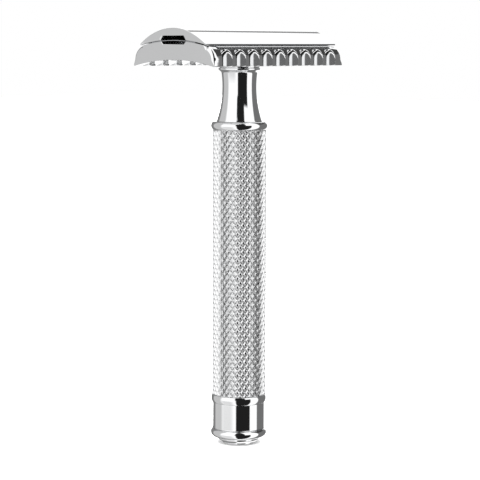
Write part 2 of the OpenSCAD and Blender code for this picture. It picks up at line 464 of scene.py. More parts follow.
@dataclass(frozen=True)
class Piece:
    """What one visible piece is called and stands for.

    Args:
        name: object name.
        node: the CAD node that it replaces.
        body: the body that it rides.
        slot: the record's material slot; not used.
        crease: angle in degrees above which two faces meet at a sharp edge.
    """

    name: str
    node: str
    body: Body
    slot: str
    crease: float = 32.0

    def make(self, bm: bmesh.types.BMesh, finish: bpy.types.Material) -> bpy.types.Object:
        """Turns a finished solid into the piece.

        Args:
            bm: the solid in millimetres; it is used up.
            finish: its material.

        Returns:
            The piece, riding its body.
        """
        bmesh.ops.scale(bm, vec=(MM, MM, MM), verts=bm.verts)
        mesh = bpy.data.meshes.new(self.name)
        bm.to_mesh(mesh)
        bm.free()
        mesh.shade_smooth()
        mesh.set_sharp_from_angle(angle=math.radians(self.crease))
        mesh.materials.append(finish)
        piece = bpy.data.objects.new(self.name, mesh)
        bpy.context.scene.collection.objects.link(piece)
        even = piece.modifiers.new("even_shading", "WEIGHTED_NORMAL")
        even.keep_sharp = True
        even.weight = 100
        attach(piece, self.body.value)
        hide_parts(self.node)
        log.info("%s: %d faces on %s", self.name, len(mesh.polygons), self.body.value)
        return piece


@dataclass
class Foot:
    """The end cap with its plain band, bulge and step, and the tie screw whose head is the foot."""

    edge: float = 0.12
    fine_edge: float = 0.05
    sole_rim: float = 0.3
    sole_radius: float = 4.9
    sole_flare: float = 0.1
    sole_top: float = 1.25
    sole_edge: float = 0.35
    throat_inset: float = 0.3
    throat_round: float = 0.2
    bulge_z: float = 2.45
    bulge_round: float = 1.05
    bulge_end: float = 78.0
    bulge_steps: int = 18
    shoulder_width: float = 0.12
    shoulder_low: float = 0.97
    shoulder_high: float = 1.05
    shoulder_edge: float = 0.06
    band_radius: float = 5.9
    spigot_tip: float = 0.3
    socket_across_flats: float = 2.5
    socket_depth: float = 1.1
    shank_radius: float = 1.5
    shank_tip: float = 0.25
    head_height: float = 1.6
    head_low_edge: float = 0.18
    head_high_edge: float = 0.1
    screw_steps: int = 96
    gap: float = 0.02

    def cap_shape(self) -> bmesh.types.BMesh:
        """Turns the end cap: sole, bulge, band, spigot and screw hole.

        Returns:
            The solid.
        """
        cap, ring, foot = Span.of("end_cap"), Span.of("end_ring"), Span.of("tie_screw")
        seat = foot.radius + self.gap
        bulge_middle = cap.radius - self.bulge_round
        outline = [
            Stop(seat, cap.low.z),
            Stop(foot.radius + self.sole_rim, cap.low.z, self.edge),
            Stop(self.sole_radius - self.sole_flare, self.sole_top - self.sole_edge, self.edge),
            Stop(self.sole_radius, self.sole_top, self.edge / 2),
            Stop(bulge_middle - self.throat_inset, self.bulge_z - self.bulge_round, self.throat_round),
            *arc((bulge_middle, self.bulge_z), self.bulge_round, -90, self.bulge_end, self.bulge_steps),
            Stop(self.band_radius + self.shoulder_width, self.bulge_z + self.bulge_round * self.shoulder_low,
                 self.fine_edge),
            Stop(self.band_radius, self.bulge_z + self.bulge_round * self.shoulder_high, self.shoulder_edge),
            Stop(self.band_radius, ring.low.z - self.gap, self.edge),
            Stop(SPIGOT_RADIUS, ring.low.z - self.gap, self.fine_edge),
            Stop(SPIGOT_RADIUS, cap.high.z, self.spigot_tip),
            Stop(self.shank_radius + self.gap, cap.high.z),
            Stop(self.shank_radius + self.gap, self.head_height + self.gap),
            Stop(seat, self.head_height + self.gap),
        ]
        return turned(outline, closed=True)

    def screw_shape(self) -> bmesh.types.BMesh:
        """Turns the tie screw and cuts its hexagonal socket.

        Returns:
            The solid.
        """
        span = Span.of("tie_screw")
        outline = [
            Stop(0, span.low.z),
            Stop(span.radius, span.low.z, self.head_low_edge),
            Stop(span.radius, self.head_height, self.head_high_edge),
            Stop(self.shank_radius, self.head_height, self.fine_edge),
            Stop(self.shank_radius, span.high.z, self.shank_tip),
            Stop(0, span.high.z),
        ]
        socket = bmesh.new()
        corner = self.socket_across_flats / 2 / math.cos(math.pi / 6)
        bmesh.ops.create_cone(socket, cap_ends=True, segments=6, radius1=corner, radius2=corner,
                              depth=2 * self.socket_depth)
        return combine(turned(outline, steps=self.screw_steps), close_up(socket), Cut.TAKE_AWAY)

    def dress(self) -> None:
        """Makes both pieces in chrome."""
        plating = Chrome("turned_chrome_foot", lay=LATHE_LAY).material()
        Piece("end_cap_turned", "end_cap", Body.HANDLE, "chrome_handle").make(self.cap_shape(), plating)
        polish = Chrome("foot_chrome", roughness=0.07, lay=(1.0, 1.0, 4.0)).material()
        Piece("tie_screw_turned", "tie_screw", Body.HANDLE, "chrome_foot").make(self.screw_shape(), polish)


@dataclass
class Grip:
    """The knurled tube between its ring and its collar."""

    columns: int = 64
    row_height: float = 1.0
    groove_depth: float = 0.3
    flat_share: float = 0.34
    plain_band: float = 0.15
    band_radius: float = 5.95
    bore: float = 5.1
    edge: float = 0.08
    ring_sag: float = 0.2
    collar_sag: float = 0.45
    ring_steps: int = 14
    row_slack: float = 0.01

    def ring_shape(self, node: str, sag: float) -> bmesh.types.BMesh:
        """Turns a ring whose outside is one round arc.

        Args:
            node: the CAD node that gives its size.
            sag: how far the arc drops at the ring's edges.

        Returns:
            The solid.
        """
        span = Span.of(node)
        half = span.height / 2
        radius = (half**2 + sag**2) / (2 * sag)
        reach = math.degrees(math.asin(half / radius))
        crown = arc((span.radius - radius, span.low.z + half), radius, -reach, reach, self.ring_steps)
        first, last = crown[0], crown[-1]
        eased = [Stop(first.across, first.z, self.edge), *crown[1:-1], Stop(last.across, last.z, self.edge)]
        return turned([Stop(self.bore, span.low.z), *eased, Stop(self.bore, span.high.z)], closed=True)

    def tube_shape(self) -> bmesh.types.BMesh:
        """Turns the tube and presses its diamond knurl.

        The wall's rows alternate peaks and grooves, and each square is split along its groove.

        Returns:
            The solid.
        """
        span = Span.of("grip_tube")
        first, last = span.low.z + self.plain_band, span.high.z - self.plain_band
        rows = 2 * round((last - first) / self.row_height / 2)
        step = (last - first) / rows
        heights = [first + i * step for i in range(rows + 1)]
        outline = [
            Stop(self.bore, span.low.z),
            Stop(self.band_radius, span.low.z, self.edge),
            *[Stop(self.band_radius, z) for z in heights],
            Stop(self.band_radius, span.high.z, self.edge),
            Stop(self.bore, span.high.z),
        ]
        bm = turned(outline, closed=True, steps=self.columns)
        self._press(bm, heights, span.radius)
        return bm

    def _press(self, bm: bmesh.types.BMesh, heights: Sequence[float], flats: float) -> None:
        """Moves the wall's points to peaks and grooves, splits its squares and flattens its peaks.

        Args:
            bm: the plain tube, changed in place.
            heights: the rows that are knurled.
            flats: radius of the flats that are left on the peaks.
        """
        low, step = heights[0], heights[1] - heights[0]
        full_depth = self.groove_depth / (1 - self.flat_share)
        kind = bm.verts.layers.int.new("kind")
        outside = (self.bore + self.band_radius) / 2
        for vert in bm.verts:
            radius = math.hypot(vert.co.x, vert.co.y)
            row = (vert.co.z - low) / step
            off_row = abs(row - round(row)) > self.row_slack or not 0 <= round(row) < len(heights)
            if radius < outside or off_row:
                continue
            column = round(math.atan2(vert.co.y, vert.co.x) / FULL_TURN * self.columns)
            raised = (round(row) + column) % 2 == 0
            vert[kind] = 1 if raised else 2
            wanted = flats - self.groove_depth + (full_depth if raised else 0)
            vert.co.x *= wanted / radius
            vert.co.y *= wanted / radius
        for face in bm.faces[:]:
            grooves = [v for v in face.verts if v[kind] == 2]
            if len(face.verts) == 4 and len(grooves) == 2:
                bmesh.utils.face_split(face, grooves[0], grooves[1])
        peaks = [v for v in bm.verts if v[kind] == 1]
        bmesh.ops.bevel(bm, geom=peaks, offset=100 * self.flat_share, offset_type="PERCENT",
                        affect="VERTICES", segments=1, profile=0.5, material=-1)
        bmesh.ops.recalc_face_normals(bm, faces=bm.faces)

    def dress(self) -> None:
        """Makes the ring, the tube and the collar."""
        plating = Chrome("turned_chrome_grip", lay=LATHE_LAY).material()
        for node, sag in (("end_ring", self.ring_sag), ("collar_ring", self.collar_sag)):
            ring = Piece(f"{node}_turned", node, Body.HANDLE, "chrome_handle")
            ring.make(self.ring_shape(node, sag), plating)
        knurl = KnurledChrome("knurled_chrome", roughness=0.08, flats=Span.of("grip_tube").radius).material()
        Piece("grip_tube_knurled", "grip_tube", Body.HANDLE, "chrome_grip", crease=20.0).make(
            self.tube_shape(), knurl)


@dataclass
class Neck:
    """The waisted neck with the flange that carries the head."""

    base_radius: float = 5.2
    waist_radius: float = 3.875
    waist_above_collar: float = 7.75
    flange_radius: float = 4.75
    flange_height: float = 1.0
    flange_slope: float = 0.5
    stud_hole_radius: float = 2.55
    stud_hole_depth: float = 9.0
    tie_hole_radius: float = 1.52
    tie_hole_depth: float = 5.0
    edge: float = 0.1
    fine_edge: float = 0.05
    seat_edge: float = 0.04
    foot_edge: float = 0.08
    flange_low_edge: float = 0.12
    slope_edge: float = 0.06
    spigot_tip: float = 0.3
    hole_edge: float = 0.15
    gap: float = 0.02
    waist_steps: int = 28
    steps: int = 144

    def shape(self) -> bmesh.types.BMesh:
        """Turns the neck: spigot, waist, flange and both tapped holes.

        Returns:
            The solid.
        """
        span = Span.of("neck")
        foot = Span.of("collar_ring").high.z + self.gap
        under = span.high.z - self.flange_height
        flare = self.base_radius - self.waist_radius
        curve = (self.waist_above_collar**2 + flare**2) / (2 * flare)
        waist_z = foot + self.waist_above_collar
        low = math.degrees(math.asin(self.waist_above_collar / curve))
        high = math.degrees(math.asin((under - waist_z) / curve))
        waist = arc((self.waist_radius + curve, waist_z), curve, 180 + low, 180 - high, self.waist_steps)
        tie_top = span.low.z + self.tie_hole_depth
        hole_z = span.high.z - self.stud_hole_depth
        outline = [
            Stop(0, tie_top),
            Stop(self.tie_hole_radius, tie_top),
            Stop(self.tie_hole_radius, span.low.z),
            Stop(SPIGOT_RADIUS, span.low.z, self.spigot_tip),
            Stop(SPIGOT_RADIUS, foot, self.seat_edge),
            Stop(waist[0].across, waist[0].z, self.foot_edge),
            *waist[1:-1],
            Stop(waist[-1].across, waist[-1].z, self.flange_low_edge),
            Stop(self.flange_radius - self.edge, under + self.flange_slope, self.slope_edge),
            Stop(self.flange_radius, under + self.flange_slope + self.edge, self.fine_edge),
            Stop(self.flange_radius, span.high.z, self.edge),
            Stop(self.stud_hole_radius, span.high.z, self.hole_edge),
            Stop(self.stud_hole_radius, hole_z),
            Stop(0, hole_z),
        ]
        return turned(outline, steps=self.steps)

    def dress(self) -> None:
        """Makes the neck in chrome."""
        plating = Chrome("turned_chrome_neck", lay=LATHE_LAY).material()
        Piece("neck_turned", "neck", Body.HANDLE, "chrome_handle").make(self.shape(), plating)


def swept(outline: Sequence[Stop], stations: Sequence[float], end_steps: int = 4) -> bmesh.types.BMesh:
    """Sweeps an outline along the blade's length, with each end rounded by the corners' own end_ease.

    Args:
        outline: closed outline across the head, anticlockwise when +Y is to the right and +Z is up.
        stations: where the outline is repeated along X, from one end to the other.
        end_steps: number of chords of each end's rounding.

    Returns:
        A closed solid.
    """
    bm = bmesh.new()
    index = bm.verts.layers.int.new("corner")
    corners = [bm.verts.new((stations[0], s.across, s.z)) for s in outline]
    for i, vert in enumerate(corners):
        vert[index] = i
    edges = [bm.edges.new((a, b)) for a, b in zip(corners, corners[1:] + corners[:1])]
    inward = [inward_mitre(outline, i) for i in range(len(outline))]
    length = stations[-1]
    turns = [math.pi / 2 * i / end_steps for i in range(end_steps + 1)]

    def place(verts: Iterable[bmesh.types.BMVert], side: int, turn: float) -> None:
        """Moves one ring of corners to its place in the end's rounding.

        Args:
            verts: the ring.
            side: -1 or 1 for the end that it belongs to.
            turn: how far round the rounding it is, from 0 on the wall to a quarter turn on the end.
        """
        for vert in verts:
            stop, into = outline[vert[index]], inward[vert[index]]
            shift = stop.end_ease * (1 - math.cos(turn))
            vert.co = (side * (length - stop.end_ease * (1 - math.sin(turn))),
                       stop.across + into.x * shift, stop.z + into.y * shift)

    rings = [(-1, t) for t in reversed(turns)] + [(0, x) for x in stations[1:-1]] + [(1, t) for t in turns]
    ring, loop = corners, edges
    for i, (side, value) in enumerate(rings):
        if i:
            made = bmesh.ops.extrude_edge_only(bm, edges=loop)["geom"]
            ring = [g for g in made if isinstance(g, bmesh.types.BMVert)]
            members = set(ring)
            loop = [g for g in made if isinstance(g, bmesh.types.BMEdge) and set(g.verts) <= members]
        if side:
            place(ring, side, value)
        else:
            for vert in ring:
                vert.co = (value, outline[vert[index]].across, outline[vert[index]].z)
        if i in (0, len(rings) - 1):
            bmesh.ops.contextual_create(bm, geom=loop)
    for ease in sorted({s.ease for s in outline if s.ease > 0}):
        ridges = [e for e in bm.edges if e.verts[0][index] == e.verts[1][index]
                  and outline[e.verts[0][index]].ease == ease]
        bmesh.ops.bevel(bm, geom=ridges, offset=ease, affect="EDGES", segments=3, profile=0.5, material=-1)
    bmesh.ops.recalc_face_normals(bm, faces=bm.faces)
    return bm


def inward_mitre(outline: Sequence[Stop], i: int) -> Vector:
    """How a corner moves as both its sides move one unit into the solid.

    Args:
        outline: the closed outline, anticlockwise.
        i: the corner.

    Returns:
        The move, across and up.
    """
    here = Vector((outline[i].across, outline[i].z))
    before, after = outline[i - 1], outline[(i + 1) % len(outline)]
    arriving = (here - Vector((before.across, before.z))).normalized()
    leaving = (Vector((after.across, after.z)) - here).normalized()
    both = (arriving + leaving).normalized()
    return Vector((-both.y, both.x)) / max(both.dot(arriving), SHARPEST_MITRE)


@dataclass
class Head:
    """Sizes that the comb plate, the blade and the cap share, all from the frame.

    Args:
        bed_radius: radius of the comb plate's bed, which bends the blade.
        channel_width: width of the channel along the cap and the plate.
        channel_slope: sideways slope of the channel's walls.
        blade_gap: clearance on each side of the blade.
        blade_thickness: thickness of the blade.
    """

    bed_radius: float = 43.0
    channel_width: float = 7.4
    channel_slope: float = 0.6
    blade_gap: float = 0.03
    blade_thickness: float = 0.1

    @property
    def bed_centre(self) -> float:
        """Height of the centre that the bed, the blade and the cap's underside share."""
        return Span.of("blade").high.z - self.blade_middle_radius - self.blade_thickness / 2

    @property
    def blade_middle_radius(self) -> float:
        """Radius at the middle of the blade's thickness."""
        return self.bed_radius + self.blade_gap + self.blade_thickness / 2

    def bed_height(self, y: float, lift: float = 0.0) -> float:
        """Height of the bed, or of a surface that lies a little above it.

        Args:
            y: distance across the head.
            lift: how far above the bed.

        Returns:
            The height.
        """
        return self.bed_centre + math.sqrt((self.bed_radius + lift) ** 2 - y**2)


@dataclass
class CombPlate:
    """The plate under the blade, with scalloped slots between its comb teeth."""

    head: Head
    nose_radius: float = 3.1
    arch_drop: float = 1.45
    channel_depth: float = 0.75
    slots: int = 9
    end_tooth: float = 2.48
    slot_width: float = 3.2
    slot_depth: float = 2.45
    slot_power: float = 1.7
    ceiling_drop: float = 1.35
    ceiling_height: float = 2.3
    tooth_edge: float = 0.4
    end_edge: float = 0.12
    nose_end_round: float = 0.9
    nose_steps: int = 26
    underside_from: float = 0.9
    plain_half: float = 9.2
    slotted_from: float = 9.35
    corner_gap: float = 0.05
    face_from_tip: float = 0.5
    face_to_nose: float = 0.12
    bed_outer: float = 9.1
    bed_inner: float = 8.9
    channel_lead: float = 0.35
    channel_edge: float = 0.08
    slot_chords: int = 16
    crowding: float = 0.7
    shoulder: float = 0.25
    boss_edge: float = 0.12
    drill_steps: int = 64
    tip_round: float = 0.2
    boss_height: float = 1.85
    boss_radius: float = 4.6
    stud_hole_radius: float = 2.58
    pin_hole_radius: float = 1.08

    def outline(self) -> list[Stop]:
        """Outline across the plate: bed, rounded edges, outer faces and arched underside.

        Returns:
            The corners, anticlockwise.
        """
        span = Span.of("comb_plate")
        half = span.high.y
        arch_top = span.low.z + self.boss_height
        tip = arch_top - self.arch_drop
        nose_y = half - self.nose_radius
        nose_z = self.head.bed_centre + math.sqrt((self.head.bed_radius - self.nose_radius) ** 2 - nose_y**2)
        lean = math.degrees(math.asin(nose_y / (self.head.bed_radius - self.nose_radius)))
        arch_radius = (half**2 + self.arch_drop**2) / (2 * self.arch_drop)
        arch_centre = arch_top - arch_radius
        channel, floor = self.head.channel_width / 2, self.head.bed_height(0) - self.channel_depth
        wall_top = nose_y + self.nose_radius * math.sin(math.radians(lean))

        def under(y: float) -> float:
            """Height of the arched underside at y."""
            return arch_centre + math.sqrt(arch_radius**2 - y**2)

        steep = math.asin(half / arch_radius)
        tip_y = half - self.tip_round * (1 + math.sin(steep))
        tip_z = under(tip_y) + self.tip_round * math.cos(steep)
        right = [Stop(y, under(y)) for y in spaced(self.underside_from, self.plain_half, 7)]
        right += [Stop(y, under(y)) for y in spaced(self.slotted_from, tip_y - self.corner_gap, 14)]
        right += arc((half - self.tip_round, tip_z), self.tip_round, -90 - math.degrees(steep), 0, 7)
        right += [Stop(half, z) for z in spaced(tip + self.face_from_tip, nose_z - self.face_to_nose, 4)]
        right += arc((nose_y, nose_z), self.nose_radius, 0, 90 - lean, self.nose_steps)[:-1]
        bed = spaced(wall_top, self.bed_outer, 5) + spaced(self.bed_inner, channel + self.channel_lead, 7)
        right += [Stop(y, self.head.bed_height(y)) for y in bed]
        right.append(Stop(channel, self.head.bed_height(channel), self.channel_edge))
        right.append(Stop(channel - self.head.channel_slope, floor))
        left = [Stop(-s.across, s.z, s.ease) for s in reversed(right)]

        def rounding(stop: Stop) -> float:
            """End rounding at a corner, widest round the nose."""
            if stop.z > nose_z:
                share = (abs(stop.across) - nose_y) / (wall_top - nose_y)
            else:
                share = (stop.z - tip - 2 * self.tip_round) / (nose_z - tip - 2 * self.tip_round)
                share *= abs(stop.across) > half - self.tip_round
            return self.end_edge + (self.nose_end_round - self.end_edge) * min(max(share, 0.0), 1.0)

        return [Stop(s.across, s.z, s.ease, rounding(s)) for s in right + left]

    def reach(self, x: float, z: float) -> float:
        """How far out the teeth and slots leave the plate at one place.

        Args:
            x: place along the head.
            z: height, because each slot has a rounded ceiling.

        Returns:
            The distance from the middle, which is past the outer face where a tooth is.
        """
        half = Span.of("comb_plate").high.y
        below = (Span.of("comb_plate").high.z - self.ceiling_drop - z) / self.ceiling_height
        below = min(max(below, 0.0), 1.0)
        opening = math.sqrt(1 - (1 - below) ** 2)
        for middle in self.slot_middles():
            u = abs(x - middle) / (self.slot_width / 2)
            if u < 1:
                bite = (1 - u**self.slot_power) ** (1 / self.slot_power) * opening
                return half + self.tooth_edge - (self.slot_depth + self.tooth_edge) * bite
        return half + self.tooth_edge

    def slot_middles(self) -> list[float]:
        """Places of the slots along the head."""
        first = Span.of("comb_plate").low.x + self.end_tooth + self.slot_width / 2
        return spaced(first, -first, self.slots - 1)

    def stations(self) -> list[float]:
        """Places along the plate where its outline is repeated, closest at the slots' walls.

        Returns:
            The places from one end to the other.
        """
        end = Span.of("comb_plate").high.x
        places = {-end, end}
        for middle in self.slot_middles():
            for i in range(self.slot_chords + 1):
                t = -math.pi / 2 + math.pi * i / self.slot_chords
                places.add(middle + self.slot_width / 2 * math.copysign(abs(math.sin(t)) ** self.crowding, t))
            places |= {middle + side * (self.slot_width / 2 + self.shoulder) for side in (-1, 1)}
        return sorted(places)

    def shape(self) -> bmesh.types.BMesh:
        """Sweeps the plate, scallops its slots, joins its boss and drills its holes.

        Returns:
            The solid.
        """
        bm = swept(self.outline(), self.stations())
        for vert in bm.verts:
            limit = self.reach(vert.co.x, vert.co.z)
            near = soft_min(abs(vert.co.y), limit, self.tooth_edge)
            vert.co.y = math.copysign(near, vert.co.y)
        close_up(bm)
        bm = combine(bm, self.boss_shape(), Cut.JOIN)
        return combine(bm, self.drills(), Cut.TAKE_AWAY)

    def boss_shape(self) -> bmesh.types.BMesh:
        """Turns the round boss that stands on the neck."""
        low = Span.of("comb_plate").low.z
        top = low + self.boss_height + 1.0
        return turned([Stop(0, low), Stop(self.boss_radius, low, self.boss_edge), Stop(self.boss_radius, top),
                       Stop(0, top)])

    def drills(self) -> bmesh.types.BMesh:
        """The stud's hole and both pin holes, as solids to take away."""
        low, high = Span.of("comb_plate").low.z - 1, Span.of("comb_plate").high.z + 1
        tool = bmesh.new()
        for x, radius in ((0, self.stud_hole_radius), (-PIN_PITCH / 2, self.pin_hole_radius),
                          (PIN_PITCH / 2, self.pin_hole_radius)):
            bmesh.ops.create_cone(tool, cap_ends=True, segments=self.drill_steps, radius1=radius,
                                  radius2=radius, depth=high - low,
                                  matrix=Matrix.Translation((x, 0, (low + high) / 2)))
        return tool

    def dress(self) -> None:
        """Makes the plate in chrome."""
        plating = Chrome("comb_chrome", roughness=0.05).material()
        Piece("comb_plate_toothed", "comb_plate", Body.COMB, "chrome_comb", crease=40.0).make(
            self.shape(), plating)


def spaced(start: float, end: float, steps: int) -> list[float]:
    """Evenly spaced values.

    Args:
        start: first value.
        end: last value.
        steps: number of intervals.

    Returns:
        The values, both ends included.
    """
    return [start + (end - start) * i / steps for i in range(steps + 1)]


def soft_min(a: float, b: float, width: float) -> float:
    """The smaller of two values, blended where they are close.

    Args:
        a: first value.
        b: second value.
        width: difference under which they blend.

    Returns:
        The blended minimum.
    """
    blend = max(width - abs(a - b), 0.0) / width
    return min(a, b) - blend**2 * width / 4


@dataclass
class Blade:
    """The thin double-edge blade, bent over the bed."""

    head: Head
    tab_length: float = 2.4
    tab_width: float = 13.0
    hole_radius: float = 3.0
    pin_hole_radius: float = 1.6
    slot_width: float = 1.6
    slot_end: float = 4.6
    ground: float = 0.35
    edge_thickness: float = 0.012
    notch_round: float = 0.5
    notch_steps: int = 5
    hole_steps: int = 64
    bends: int = 40

    def shape(self) -> bmesh.types.BMesh:
        """Cuts the flat blade, grinds its edges and bends it.

        Returns:
            The solid.
        """
        span = Span.of("blade")
        length, width = 2 * span.high.x, 2 * span.high.y
        thick = self.head.blade_thickness
        bm = bmesh.new()
        bmesh.ops.create_cube(bm, size=1)
        bmesh.ops.scale(bm, vec=(length, width, thick), verts=bm.verts)
        bm = combine(bm, self.cutters(length, width), Cut.TAKE_AWAY)
        ground_from = width / 2 - self.ground
        cuts = spaced(-width / 2, width / 2, self.bends)[1:-1] + [-ground_from, ground_from]
        for y in cuts:
            bmesh.ops.bisect_plane(bm, geom=bm.verts[:] + bm.edges[:] + bm.faces[:], dist=WELD,
                                   plane_co=(0, y, 0), plane_no=(0, 1, 0))
        radius = self.head.blade_middle_radius
        for vert in bm.verts:
            thin = min(1.0, max(0.0, (width / 2 - abs(vert.co.y)) / self.ground))
            share = self.edge_thickness / thick
            lift = radius + vert.co.z * (share + (1 - share) * thin)
            turn = math.asin(vert.co.y / (radius + thick / 2))
            vert.co.y = lift * math.sin(turn)
            vert.co.z = self.head.bed_centre + lift * math.cos(turn)
        return close_up(bm)

    def cutters(self, length: float, width: float) -> bmesh.types.BMesh:
        """The holes, the long slot and the corner notches, as solids to take away.

        Args:
            length: length of the blade.
            width: width of the blade.

        Returns:
            The cutting solids, which overlap each other only where they join.
        """
        slot = bmesh.new()
        bmesh.ops.create_cube(slot, size=1)
        bmesh.ops.scale(slot, vec=(length - 2 * self.slot_end, self.slot_width, 1), verts=slot.verts)
        for x, radius in ((0, self.hole_radius), (-PIN_PITCH / 2, self.pin_hole_radius),
                          (PIN_PITCH / 2, self.pin_hole_radius)):
            hole = bmesh.new()
            bmesh.ops.create_cone(hole, cap_ends=True, segments=self.hole_steps, radius1=radius,
                                  radius2=radius, depth=1, matrix=Matrix.Translation((x, 0, 0)))
            slot = combine(slot, hole, Cut.JOIN)
        deep, broad = self.tab_length, (width - self.tab_width) / 2
        for side_x in (-1, 1):
            for side_y in (-1, 1):
                place = Matrix.Translation((side_x * length / 2, side_y * width / 2, 0))
                size = Matrix.Diagonal((2 * deep, 2 * broad, 1, 1))
                notch = bmesh.ops.create_cube(slot, size=1, matrix=place @ size)
                upright = [e for e in {e for v in notch["verts"] for e in v.link_edges}
                           if abs(e.verts[0].co.z - e.verts[1].co.z) > 0.5]
                bmesh.ops.bevel(slot, geom=upright, offset=self.notch_round, affect="EDGES",
                                segments=self.notch_steps, profile=0.5, material=-1)
        return slot

    def dress(self) -> None:
        """Makes the blade in brushed steel."""
        steel = BladeSteel("brushed_blade_steel", Span.of("blade").high.y - self.ground).material()
        Piece("blade_ground", "blade", Body.BLADE, "blade_steel", crease=25.0).make(self.shape(), steel)


@dataclass
class Cap:
    """The crowned cap with its channel, threaded stud and locating pins."""

    head: Head
    crown_radius: float = 16.0
    channel_depth: float = 0.85
    lower_end_edge: float = 0.45
    upper_end_edge: float = 0.15
    stud_radius: float = 2.5
    thread_pitch: float = 0.8
    thread_depth: float = 0.42
    thread_steps: int = 32
    thread_seam: float = 1e-3
    root_width: float = 0.1
    crest_from: float = 0.36
    crest_to: float = 0.54
    plain_shank: float = 7.6
    shank_bevel: float = 0.35
    shank_edge: float = 0.1
    shank_overlap: float = 0.4
    pin_radius: float = 1.0
    pin_taper: float = 0.3
    pin_taper_height: float = 0.5
    pin_tip_edge: float = 0.08
    pin_shoulder_edge: float = 0.1
    pin_top_edge: float = 0.05
    channel_edge: float = 0.08
    end_share: float = 0.7
    nose_share: float = 0.3
    channel_lead: float = 0.6
    nose_lead: float = 0.1
    nose_turn: tuple[float, float] = (-80.0, 50.0)
    crown_from: float = 0.25

    def outline(self) -> list[Stop]:
        """Outline across the cap: concave underside, thin sides, crown and channel.

        Returns:
            The corners, anticlockwise.
        """
        span = Span.of("cap")
        half, lift = span.high.y, 2 * self.head.blade_gap + self.head.blade_thickness
        crown_centre = span.high.z - self.crown_radius
        channel = self.head.channel_width / 2
        floor = self.head.bed_height(0, lift) + self.channel_depth

        def crown(y: float) -> float:
            """Height of the crown at y."""
            return crown_centre + math.sqrt(self.crown_radius**2 - y**2)

        def ends(y: float, wanted: float) -> float:
            """End rounding at y, no more than the wall's thickness allows."""
            room = crown(y) - self.head.bed_height(y, lift)
            return min(wanted, room * wanted / (self.lower_end_edge + self.upper_end_edge) * self.end_share)

        thickness = crown(half) - self.head.bed_height(half, lift)
        nose = thickness / 2
        middle = (half - nose, self.head.bed_height(half, lift) + nose)
        right = [Stop(channel - self.head.channel_slope, floor, 0, self.lower_end_edge),
                 Stop(channel, self.head.bed_height(channel, lift), self.channel_edge, self.lower_end_edge)]
        right += [Stop(y, self.head.bed_height(y, lift), 0, ends(y, self.lower_end_edge))
                  for y in spaced(channel + self.channel_lead, half - nose - self.nose_lead, 18)]
        right += [Stop(s.across, s.z, 0, nose * self.nose_share)
                  for s in arc(middle, nose, *self.nose_turn, 7)]
        right += [Stop(y, crown(y), 0, ends(y, self.upper_end_edge))
                  for y in spaced(half - nose * self.nose_share, self.crown_from, 34)]
        left = [Stop(-s.across, s.z, s.ease, s.end_ease) for s in reversed(right)]
        return right + left

    def cap_shape(self) -> bmesh.types.BMesh:
        """Sweeps the cap along the blade.

        Returns:
            The solid.
        """
        end = Span.of("cap").high.x
        return close_up(swept(self.outline(), spaced(-end, end, 10), end_steps=6))

    def stud_shape(self) -> bmesh.types.BMesh:
        """Cuts the stud's thread as one screw surface and leaves a plain shank under the cap.

        Returns:
            The solid.
        """
        span = Span.of("threaded_stud")
        start = span.low.z - 2 * self.thread_pitch
        shank_z = span.high.z - self.plain_shank
        turns = math.ceil((shank_z - start) / self.thread_pitch) + 1
        root = self.stud_radius - self.thread_depth
        tooth = [Stop(root, 0), Stop(root, self.root_width), Stop(self.stud_radius, self.crest_from),
                 Stop(self.stud_radius, self.crest_to), Stop(root, self.thread_pitch)]
        bm = wire(tooth, False, lambda s: Vector((s.across, 0, start + s.z)))
        bmesh.ops.spin(bm, geom=bm.verts[:] + bm.edges[:], cent=(0, 0, 0), axis=(0, 0, 1),
                       dvec=(0, 0, self.thread_pitch / self.thread_steps), angle=FULL_TURN * turns,
                       steps=self.thread_steps * turns)
        bmesh.ops.remove_doubles(bm, verts=bm.verts, dist=self.thread_seam)
        for z, outwards in ((span.low.z, -1), (shank_z + self.shank_overlap, 1)):
            cut = bmesh.ops.bisect_plane(bm, geom=bm.verts[:] + bm.edges[:] + bm.faces[:], dist=WELD,
                                         plane_co=(0, 0, z), plane_no=(0, 0, outwards), clear_outer=True)
            rim = [e for e in cut["geom_cut"] if isinstance(e, bmesh.types.BMEdge)]
            bmesh.ops.holes_fill(bm, edges=rim)
        close_up(bm)
        shank = turned([Stop(0, shank_z), Stop(self.stud_radius - self.shank_bevel, shank_z),
                        Stop(self.stud_radius, shank_z + self.shank_bevel),
                        Stop(self.stud_radius, span.high.z, self.shank_edge), Stop(0, span.high.z)], steps=64)
        return combine(bm, shank, Cut.JOIN)

    def pins_shape(self) -> bmesh.types.BMesh:
        """Turns both locating pins, with tapered tips.

        Returns:
            Two solids in one mesh.
        """
        span = Span.of("locating_pins")
        pin = turned([Stop(0, span.low.z),
                      Stop(self.pin_radius - self.pin_taper, span.low.z, self.pin_tip_edge),
                      Stop(self.pin_radius, span.low.z + self.pin_taper_height, self.pin_shoulder_edge),
                      Stop(self.pin_radius, span.high.z, self.pin_top_edge), Stop(0, span.high.z)], steps=48)
        return copy_at(pin, [Vector((side * PIN_PITCH / 2, 0, 0)) for side in (-1, 1)])

    def dress(self) -> None:
        """Makes the cap, its stud and its pins."""
        plating = Chrome("cap_chrome", roughness=0.035, haze=0.02).material()
        Piece("cap_crowned", "cap", Body.CAP, "chrome_cap", crease=40.0).make(self.cap_shape(), plating)
        thread = Chrome("stud_chrome", roughness=0.12, haze=0.06, lay=(1.0, 1.0, 8.0)).material()
        Piece("stud_threaded", "threaded_stud", Body.CAP, "chrome_stud").make(self.stud_shape(), thread)
        Piece("pins_turned", "locating_pins", Body.CAP, "chrome_stud").make(self.pins_shape(), thread)


